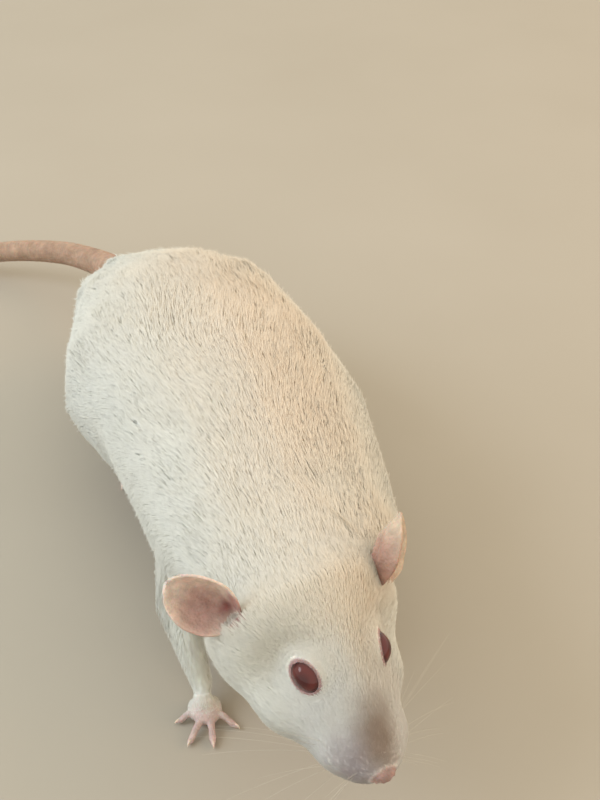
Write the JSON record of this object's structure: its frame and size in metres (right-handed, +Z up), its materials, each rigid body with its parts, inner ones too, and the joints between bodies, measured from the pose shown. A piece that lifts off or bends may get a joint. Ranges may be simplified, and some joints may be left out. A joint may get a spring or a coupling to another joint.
{
  "type": "pet rat",
  "caption": "Life-size still model of a white, red-eyed pet rat standing on four feet, head low and turned a little to its left, long tail curved round on the floor",
  "frame": {"origin": "middle of the whole rat's footprint, tail included, on the floor", "axes": "+Z up, the head points to -Y, the rat's left side is +X"},
  "size_m": [0.201, 0.3244, 0.0773],
  "materials": {
    "coat": "short dense white fur, cool white on the flanks and warmer cream on the back, with a grey-brown smudge over the muzzle",
    "ear_skin": "thin bare dusty pink skin, darker in the cup",
    "paw_skin": "bare pink skin with fine folds, pale horn claws",
    "tail_skin": "brown-pink skin in fine rings of scales",
    "eye": "wet deep red bead"
  },
  "bodies": {
    "root": {"head": "coat", "neck": "coat", "torso": "coat", "foreleg_left": "coat", "foreleg_right": "coat", "hind_leg_left": "coat", "hind_leg_right": "coat", "forepaw_left": "paw_skin", "forepaw_right": "paw_skin", "hind_foot_left": "paw_skin", "hind_foot_right": "paw_skin", "tail_base": "tail_skin", "tail_middle": "tail_skin", "tail_end": "tail_skin", "tail_tip": "tail_skin", "ear_left": "ear_skin", "ear_right": "ear_skin", "eye_left": "eye", "eye_right": "eye"}
  },
  "joints": []
}
